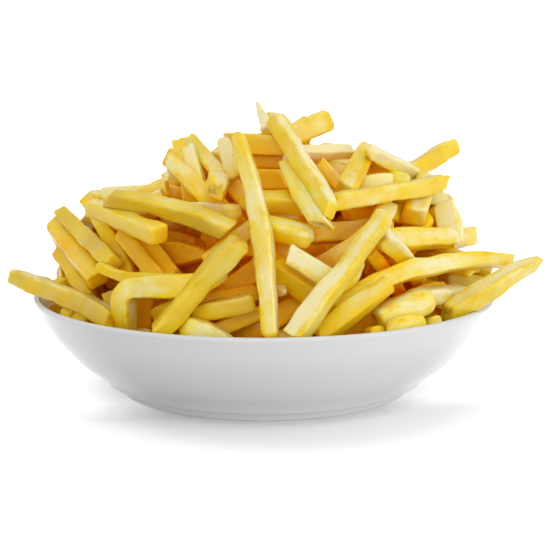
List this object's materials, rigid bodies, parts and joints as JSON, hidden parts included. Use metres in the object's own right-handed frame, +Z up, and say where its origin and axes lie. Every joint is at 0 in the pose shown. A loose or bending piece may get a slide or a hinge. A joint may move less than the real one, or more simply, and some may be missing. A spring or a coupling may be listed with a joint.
{
  "type": "french fries portion in a bowl",
  "caption": "Golden thin-cut french fries heaped high above the rim of a shallow round white porcelain bowl with a foot ring.",
  "frame": {"origin": "middle of the bowl's foot ring, on the surface the bowl stands on", "axes": "+Z up through the middle of the bowl, +X towards the right side of the heap as seen from the front, +Y towards the back"},
  "size_m": [0.2385, 0.21, 0.1316],
  "materials": {
    "porcelain": "gloss",
    "fried_potato": "satin"
  },
  "bodies": {
    "root": {"bowl": "porcelain", "fries": "fried_potato"}
  },
  "joints": []
}
